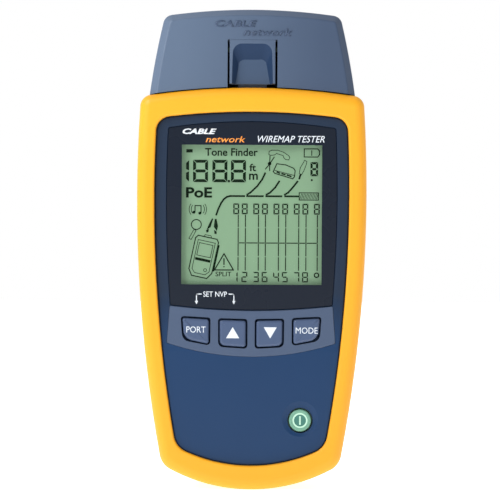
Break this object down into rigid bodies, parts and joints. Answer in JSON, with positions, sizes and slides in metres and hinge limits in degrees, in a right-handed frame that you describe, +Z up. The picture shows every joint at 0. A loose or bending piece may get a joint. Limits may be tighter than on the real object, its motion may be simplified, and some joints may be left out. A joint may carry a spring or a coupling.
{
  "type": "network cable tester",
  "caption": "Hand-held network cable tester with a display, five keys, a hinged battery door and a plug-in wiremap adapter on its end.",
  "frame": {"origin": "under the middle of the tester, at its lowest point, standing on its lower end", "axes": "+X across the face to the right, +Y from the face to the back, +Z up along the tester to the adapter"},
  "size_m": [0.0764, 0.036, 0.16],
  "materials": {
    "yellow_rubber": "soft satin overmould",
    "blue_shell": "fine matt texture",
    "keypad_grey_blue": "satin",
    "key_blue": "satin",
    "power_green": "satin",
    "adapter_blue": "fine matt texture",
    "dark_print": "printed gloss",
    "clear_lens": "clear, polished",
    "lcd_green": "reflective display glass",
    "gasket_foam": "closed-cell foam tape",
    "light_guide": "milky",
    "black_plastic": "moulded",
    "zebra_rubber": "elastomer",
    "silicone_mat": "silicone",
    "board_green": "solder mask",
    "chip_black": "moulded epoxy",
    "can_aluminium": "drawn can",
    "gold_contact": "gold plated",
    "nickel": "nickel plate",
    "ptfe_white": "insulator",
    "cell_jacket": "printed steel can",
    "spring_steel": "nickel-plated wire",
    "brass_insert": "knurled",
    "black_steel": "blackened",
    "carbon_pill": "carbon-loaded silicone",
    "label_film": "printed film",
    "resistor_dark": "chip resistor"
  },
  "bodies": {
    "tester": {"front_overmould": "yellow_rubber", "rear_overmould": "yellow_rubber", "front_shell": "blue_shell", "rear_shell": "blue_shell", "end_panel": "black_plastic", "rating_label": "label_film", "keypad_panel": "keypad_grey_blue", "face_overlay": "dark_print", "display_lens": "clear_lens", "lens_gasket": "gasket_foam", "lcd_cell": "lcd_green", "backlight_guide": "light_guide", "display_frame": "black_plastic", "contact_strip": "zebra_rubber", "keypad_mat": "silicone_mat", "main_board": "board_green", "board_chips": "chip_black", "board_capacitors": "can_aluminium", "sounder": "black_plastic", "key_pads": "gold_contact", "jack_housing": "black_plastic", "jack_contacts": "gold_contact", "coax_connector": "nickel", "coax_insulator": "ptfe_white", "coax_nut": "nickel", "battery_left": "cell_jacket", "battery_right": "cell_jacket", "battery_springs": "spring_steel", "battery_contacts": "nickel", "door_insert": "brass_insert", "case_screws": "black_steel"},
    "port_key_body": {"port_key": "key_blue", "port_key_pill": "carbon_pill"},
    "up_key_body": {"up_key": "key_blue", "up_key_pill": "carbon_pill"},
    "down_key_body": {"down_key": "key_blue", "down_key_pill": "carbon_pill"},
    "mode_key_body": {"mode_key": "key_blue", "mode_key_pill": "carbon_pill"},
    "power_key_body": {"power_key": "power_green", "power_key_pill": "carbon_pill"},
    "battery_door_body": {"battery_door": "blue_shell"},
    "door_screw_body": {"door_screw": "nickel"},
    "adapter_body": {"adapter_front_shell": "adapter_blue", "adapter_rear_shell": "adapter_blue", "adapter_end_panel": "black_plastic", "adapter_board": "board_green", "adapter_resistors": "resistor_dark", "adapter_jack_housing": "black_plastic", "adapter_jack_contacts": "gold_contact", "adapter_coax_connector": "nickel", "adapter_coax_insulator": "ptfe_white", "adapter_screws": "black_steel"},
    "latch_body": {"latch_tab": "adapter_blue"}
  },
  "joints": [
    {"name": "port_press", "type": "slide", "parent": "tester", "child": "port_key_body", "axis": [0, 1, 0], "range_m": [0, 0.0008], "stiffness_N_per_m": 600, "springref_m": -0.0005},
    {"name": "up_press", "type": "slide", "parent": "tester", "child": "up_key_body", "axis": [0, 1, 0], "range_m": [0, 0.0008], "stiffness_N_per_m": 600, "springref_m": -0.0005},
    {"name": "down_press", "type": "slide", "parent": "tester", "child": "down_key_body", "axis": [0, 1, 0], "range_m": [0, 0.0008], "stiffness_N_per_m": 600, "springref_m": -0.0005},
    {"name": "mode_press", "type": "slide", "parent": "tester", "child": "mode_key_body", "axis": [0, 1, 0], "range_m": [0, 0.0008], "stiffness_N_per_m": 600, "springref_m": -0.0005},
    {"name": "power_press", "type": "slide", "parent": "tester", "child": "power_key_body", "axis": [0, 1, 0], "range_m": [0, 0.0008], "stiffness_N_per_m": 600, "springref_m": -0.0005},
    {"name": "adapter_unplug", "type": "slide", "parent": "tester", "child": "adapter_body", "axis": [0, 0, 1], "range_m": [0, 0.045]},
    {"name": "latch_press", "type": "hinge", "parent": "adapter_body", "child": "latch_body", "pos_m": [0, -0.0138, 0.1492], "axis": [1, 0, 0], "range_deg": [0, 5], "stiffness_Nm_per_rad": 0.5, "springref_deg": -2.86},
    {"name": "battery_door_hinge", "type": "hinge", "parent": "tester", "child": "battery_door_body", "pos_m": [0, 0.0168, 0.0132], "axis": [-1, 0, 0], "range_deg": [0, 75]},
    {"name": "door_screw_turn", "type": "hinge", "parent": "battery_door_body", "child": "door_screw_body", "pos_m": [0, 0.015, 0.0724], "axis": [0, 1, 0], "continuous": true}
  ]
}
